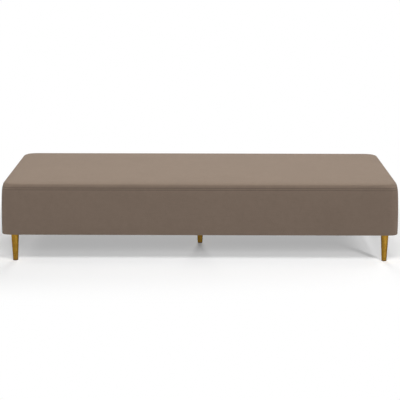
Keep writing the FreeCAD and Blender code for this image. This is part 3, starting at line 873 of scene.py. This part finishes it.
layers = {
    "waddingGap": 0.0019,
    "waddingThickness": 0.0043,
    "waddingFluff": 0.00035,
    "foamGrain": 0.0004,
    "seatVoxel": 0.01,
    "sideVoxel": 0.0045,
    "feltCorner": 0.04,
    "feltGrid": (0.95, 0.45),
    "feltCell": 0.05,
    "strapWidth": 0.07,
    "strapPitch": 0.122,
    "strapThickness": 0.0016,
    "strapStep": 0.0017,  # a woven strap passes this far over or under the level of its ends
}
crossCount, longCount = 15, 7


def roughened(piece, depth, scale):
    # an even, fine unevenness, the same on every run
    piece.data.update()
    moves = [v.normal * depth * noise.noise(v.co * scale) for v in piece.data.vertices]
    for vertex, move in zip(piece.data.vertices, moves):
        vertex.co += move


def buildWadding():
    startEdit(lining)
    pick(lining, "faces", lambda f: middleOf(f).z < cover["underside"] + 0.0032)
    bpy.ops.mesh.delete(type="FACE")
    endEdit()
    lining.data.update()
    moves = [v.normal * -layers["waddingGap"] for v in lining.data.vertices]
    for vertex, move in zip(lining.data.vertices, moves):
        vertex.co += move
    roughened(lining, layers["waddingFluff"], 60)
    applied(lining, "SOLIDIFY", thickness=layers["waddingThickness"], offset=-1.0)
    onlySelect(lining)
    bpy.ops.object.shade_smooth()
    return lining


def buildFoam(node, name, voxel):
    # the CAD solid's form, its edges softened as cut foam's are
    piece = copyOf(nodes[node], name)
    piece.parent = None
    for key in list(piece.keys()):
        del piece[key]
    piece.hide_render = piece.hide_viewport = False
    startEdit(piece, "VERT")
    bpy.ops.mesh.select_all(action="SELECT")
    bpy.ops.mesh.remove_doubles(threshold=hair)
    endEdit()
    applied(piece, "REMESH", mode="VOXEL", voxel_size=voxel)
    applied(piece, "SMOOTH", factor=0.5, iterations=3)
    roughened(piece, layers["foamGrain"], 90)
    pullCorners(piece)
    onlySelect(piece)
    bpy.ops.object.shade_smooth()
    return piece


def buildFelt():
    low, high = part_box("felt_insulator")
    piece = newBox("feltPad", low, high)
    startEdit(piece, "EDGE")
    pick(piece, "edges", lambda e: abs(e.verts[0].co.z - e.verts[1].co.z) > 1e-4)
    bpy.ops.mesh.bevel(offset=layers["feltCorner"], segments=8, affect="EDGES")
    gridX, gridY = layers["feltGrid"]
    sliceAt(0, evenly(-gridX, gridX, layers["feltCell"]))
    sliceAt(1, evenly(-gridY, gridY, layers["feltCell"]))
    endEdit()
    for vertex in piece.data.vertices:
        vertex.co.z += 0.0001 * noise.noise(vertex.co * 25)
    return piece


def mapStrap(piece, axis):
    layer = piece.data.uv_layers.new(name="weave")
    box = [v.co[1 - axis] for v in piece.data.vertices]
    middle = (min(box) + max(box)) / 2
    for loop in piece.data.loops:
        point = piece.data.vertices[loop.vertex_index].co
        layer.data[loop.index].uv = (point[1 - axis] - middle, point[axis])


def buildStrap(name, low, high, axis, cell):
    piece = newBox(name, low, high)
    startEdit(piece, "EDGE")
    pick(piece, "edges", lambda e: abs(e.verts[0].co[axis] - e.verts[1].co[axis]) > 0.1)
    bpy.ops.mesh.bevel(offset=0.0005, segments=2, affect="EDGES")
    sliceAt(axis, evenly(low[axis], high[axis], cell)[1:-1])
    endEdit()
    mapStrap(piece, axis)
    return piece


def weaveHeight(x, first):
    # a long strap rises over one cross strap and dips under the next
    place = (x - first) / layers["strapPitch"]
    number = max(0, min(crossCount - 1, round(place)))
    reach = layers["strapWidth"] / 2 / layers["strapPitch"]
    past = place - number
    here = 1 if number % 2 == 0 else -1
    if abs(past) <= reach:
        return here
    toNext = (abs(past) - reach) / (0.5 - reach) / 2
    beyond = number + (1 if past > 0 else -1)
    there = 0 if beyond in (-1, crossCount) else -here
    if there == 0:
        toNext = min(1.0, 2 * toNext)
    ease = toNext * toNext * (3 - 2 * toNext)
    return here * (1 - ease) + there * ease


def buildStraps():
    low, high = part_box("webbing_cross_straps")
    half = layers["strapWidth"] / 2
    first = low[0] + half
    crossed = buildStrap("strap", (first - half, low[1], low[2]), (first + half, high[1], high[2]), 1, 0.025)
    cross = [crossed] + [copyOf(crossed, "strap", (layers["strapPitch"] * n, 0, 0)) for n in range(1, crossCount)]
    longLow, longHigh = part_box("webbing_long_straps")
    level = low[2]
    long = []
    for number in range(longCount):
        y = longLow[1] + half + layers["strapPitch"] * number
        top = level + layers["strapThickness"]
        strap = buildStrap("strap", (longLow[0], y - half, level), (longHigh[0], y + half, top), 0, 0.012)
        side = 1 if number % 2 == 0 else -1
        for vertex in strap.data.vertices:
            vertex.co.z += side * layers["strapStep"] * weaveHeight(vertex.co.x, first)
        long.append(strap)
    return joined("webbingAcross", cross), joined("webbingAlong", long)


waddingWrap = finished(buildWadding(), finishes["wadding"], ["wadding_wrap"])
foams = {
    "seat_foam_core": ("seatCore", "seatVoxel", 1.0),
    "seat_foam_topper": ("seatTopper", "seatVoxel", 0.85),
    "front_side_foam": ("sideFoamFront", "sideVoxel", 0.9),
    "back_side_foam": ("sideFoamBack", "sideVoxel", 0.9),
    "left_side_foam": ("sideFoamLeft", "sideVoxel", 0.9),
    "right_side_foam": ("sideFoamRight", "sideVoxel", 0.9),
}
for node, (name, voxel, fill) in foams.items():
    finished(buildFoam(node, name, layers[voxel]), finishes["foam"], [node])
felt = finished(buildFelt(), finishes["felt"], ["felt_insulator"])
across, along = buildStraps()
finished(across, finishes["webbing"], ["webbing_cross_straps"])
finished(along, finishes["webbing"], ["webbing_long_straps"])
print("soft layers made")


# legs: tapered tubes

leg = {
    "places": {
        "frontLeft": (-0.94, -0.41),
        "frontRight": (0.94, -0.41),
        "backLeft": (-0.94, 0.41),
        "backRight": (0.94, 0.41),
        "centre": (0.0, 0.0),
    },
    "bottom": 0.003,
    "top": 0.1515,
    "topRadius": 0.02,
    "footRadius": 0.01265,
    "wall": 0.0015,
    "rim": 0.00045,
    "ring": 0.02,  # from one ring of points to the next
    "segments": 72,
}
nodeEnd = {
    "frontLeft": "front_left",
    "frontRight": "front_right",
    "backLeft": "back_left",
    "backRight": "back_right",
    "centre": "centre",
}


def buildLeg():
    bpy.ops.object.select_all(action="DESELECT")
    bpy.ops.mesh.primitive_cylinder_add(
        vertices=leg["segments"],
        radius=leg["topRadius"],
        depth=leg["top"] - leg["bottom"],
        end_fill_type="NOTHING",
        location=(0, 0, (leg["top"] + leg["bottom"]) / 2),
    )
    tube = bpy.context.active_object
    bpy.ops.object.transform_apply(location=True, rotation=True, scale=True)
    startEdit(tube, "VERT")
    pick(tube, "verts", lambda v: v.co.z < 0.05)
    taper = leg["footRadius"] / leg["topRadius"]
    bpy.ops.transform.resize(value=(taper, taper, 1), center_override=(0, 0, leg["bottom"]))
    sliceAt(2, evenly(leg["bottom"], leg["top"], leg["ring"])[1:-1])
    endEdit()
    applied(tube, "SOLIDIFY", thickness=leg["wall"], offset=-1.0)

    def isRim(edge):
        one, other = (v.co for v in edge.verts)
        level = any(abs(one.z - z) < 2e-4 and abs(other.z - z) < 2e-4 for z in (leg["bottom"], leg["top"]))
        return level and abs(one.xy.length - other.xy.length) < 1e-4

    startEdit(tube, "EDGE")
    pick(tube, "edges", isRim)
    bpy.ops.mesh.bevel(offset=leg["rim"], segments=2, affect="EDGES")
    endEdit()
    onlySelect(tube)
    bpy.ops.object.shade_smooth_by_angle(angle=math.radians(40))
    return tube


firstLeg = buildLeg()
for name, (x, y) in leg["places"].items():
    tube = copyOf(firstLeg, "leg" + name[0].upper() + name[1:], (x, y, 0))
    finished(tube, finishes["brass"], ["leg_" + nodeEnd[name]])
bpy.data.objects.remove(firstLeg)
print("legs made")


# cloth under the box

dust = {
    "low": 0.1491,
    "high": 0.1497,
    "halfX": 0.9812,
    "halfY": 0.4812,
    "corner": 0.03,
    "hole": 0.0215,
    "sag": 0.0012,
    "cell": 0.05,
    "stapled": (0.95, 0.45),  # outside this the staples hold it flat
}


def buildDustCloth():
    low, high = dust["low"], dust["high"]
    flatX, flatY = dust["stapled"]
    piece = newBox("dustCloth", (-dust["halfX"], -dust["halfY"], low), (dust["halfX"], dust["halfY"], high))
    startEdit(piece, "EDGE")
    pick(piece, "edges", lambda e: abs(e.verts[0].co.z - e.verts[1].co.z) > 1e-4)
    bpy.ops.mesh.bevel(offset=dust["corner"], segments=6, affect="EDGES")
    sliceAt(0, evenly(-flatX, flatX, dust["cell"]))
    sliceAt(1, evenly(-flatY, flatY, dust["cell"]))
    endEdit()
    for x, y in leg["places"].values():
        bpy.ops.object.select_all(action="DESELECT")
        bpy.ops.mesh.primitive_cylinder_add(vertices=48, radius=dust["hole"], depth=0.02, location=(x, y, low))
        cutter = bpy.context.active_object
        applied(piece, "BOOLEAN", object=cutter, operation="DIFFERENCE", solver="EXACT")
        bpy.data.objects.remove(cutter)
    for vertex in piece.data.vertices:
        x, y, z = vertex.co
        free = max(0.0, 1 - (x / flatX) ** 2) * max(0.0, 1 - (y / flatY) ** 2)
        near = min(math.hypot(x - a, y - b) for a, b in leg["places"].values())
        vertex.co.z -= dust["sag"] * free * min(1.0, max(0.0, near - 0.05) / 0.2)
    onlySelect(piece)
    bpy.ops.object.shade_smooth_by_angle(angle=math.radians(40))
    return piece


dustCloth = finished(buildDustCloth(), finishes["dustCloth"], ["dust_cover"])
print("dust cloth made")


# finishes of the frame, the fasteners and the feet, whose shapes are the CAD's

def dress(node, material):
    slots = nodes[node].material_slots
    if not slots:
        nodes[node].data.materials.append(material)
    for place in slots:
        place.material = material


cornerEnds = [end for end in nodeEnd.values() if end != "centre"]
cadFinish = {
    "timberAlong": ["front_rail", "back_rail"],
    "timberAcross": [
        "left_end_rail",
        "right_end_rail",
        "left_cross_rail",
        "centre_cross_rail",
        "right_cross_rail",
        "centre_block_left",
        "centre_block_right",
    ],
    "timberUpright": ["corner_block_" + end for end in cornerEnds],
    "plywood": ["centre_leg_board"] + ["leg_board_" + end for end in cornerEnds],
    "beech": ["frame_dowels"],
    "zinc": ["rail_screws", "block_screws", "leg_studs", "tee_nuts"],
    "wire": ["webbing_staples", "cover_staples", "dust_cover_staples"],
    "brass": ["leg_cap_" + end for end in nodeEnd.values()],
    "nylon": ["leg_glide_" + end for end in nodeEnd.values()],
}
for material, names in cadFinish.items():
    for name in names:
        dress(name, finishes[material])
print("frame finished")


# studio

studio = {
    "floorSize": 120,
    "aim": (0, 0, 0.2),
    # place, size, watts, what the lamp lights and its colour
    "lamps": {
        "overhead": ((0, -0.1, 3.4), (4.6, 2.2), 75, "divan", (1, 0.99, 0.93)),
        "fill": ((-3.72, -5.32, 2.82), (2, 2), 56, "divan", (1, 1, 1)),
        "frontLow": ((0.7, -6.5, 1.5), (4.0, 0.8), 68, "divan", (1, 1, 1)),
        "right": ((4.5, -0.4, 2.2), (2, 2), 55, "divan", (1, 1, 1)),
        "left": ((-4.5, 0, 2.2), (2, 2), 22, "divan", (1, 1, 1)),
        "rear": ((0, 5, 2.5), (4, 1.2), 50, "divan", (1, 1, 1)),
        "legStrip": ((1.9, -3.4, 1.3), (0.3, 1.8), 220, "legs", (1, 1, 1)),
        "floorFront": ((0, -3.83, 3.41), (3.0, 1.0), 149, "floor", (1, 1, 1)),
        "floorStrip": ((2.74, -4.13, 1.68), (0.3, 0.9), 102, "floor", (1, 1, 1)),
        "floorSide": ((3.3, -4.1, 1.95), (0.5, 0.9), 32, "floor", (1, 1, 1)),
        "floorRear": ((0, 6, 0.82), (2.1, 0.45), 700, "floor", (1, 1, 1)),
        "floorLeft": ((-3.2, -0.5, 3.6), (2, 2), 26, "floor", (1, 1, 1)),
        "floorRight": ((1.5, 0.1, 0.9), (1.0, 0.1), 2.4, "floor", (1, 1, 1)),
    },
    "world": 0.07,
}
bpy.ops.object.select_all(action="DESELECT")
bpy.ops.mesh.primitive_plane_add(size=studio["floorSize"], location=(0, 0, 0))
floor = bpy.context.active_object
floor.name = "studioFloor"
floor.data.materials.append(floorFinish())


def lightGroup(name, members, state):
    group = bpy.data.collections.new(name)
    for member in members:
        group.objects.link(member)
    for place in group.collection_objects:
        place.light_linking.link_state = state
    return group


legParts = [piece for piece in bpy.data.objects if piece.type == "MESH" and piece.name.startswith("leg")]
receivers = {
    "floor": lightGroup("floorOnly", [floor], "INCLUDE"),
    "divan": lightGroup("allButFloor", [floor], "EXCLUDE"),
    "legs": lightGroup("legsOnly", legParts, "INCLUDE"),
}
for name, (place, size, power, lit, colour) in studio["lamps"].items():
    bpy.ops.object.light_add(type="AREA", location=place)
    light = bpy.context.active_object
    light.name = name + "Light"
    light.data.shape = "RECTANGLE"
    light.data.size, light.data.size_y = size
    light.data.energy = power
    light.data.color = colour
    light.rotation_euler = (Vector(studio["aim"]) - light.location).to_track_quat("-Z", "Y").to_euler()
    light.light_linking.receiver_collection = receivers[lit]
    light.visible_camera = False

world = bpy.data.worlds.new("studioWorld")
bpy.context.scene.world = world
world.use_nodes = True
background = world.node_tree.nodes["Background"]
rays = world.node_tree.nodes.new("ShaderNodeLightPath")
seen = rays.outputs["Is Camera Ray"]
for other in ("Is Glossy Ray", "Is Transmission Ray"):
    either = world.node_tree.nodes.new("ShaderNodeMath")
    either.operation = "MAXIMUM"
    world.node_tree.links.new(seen, either.inputs[0])
    world.node_tree.links.new(rays.outputs[other], either.inputs[1])
    seen = either.outputs[0]
level = world.node_tree.nodes.new("ShaderNodeMapRange")
level.inputs["To Min"].default_value = studio["world"]
level.inputs["To Max"].default_value = 1.0
world.node_tree.links.new(seen, level.inputs["Value"])
world.node_tree.links.new(level.outputs["Result"], background.inputs["Strength"])
background.inputs["Color"].default_value = (1, 1, 1, 1)
bpy.context.scene.view_settings.view_transform = "Standard"
print("studio lit")
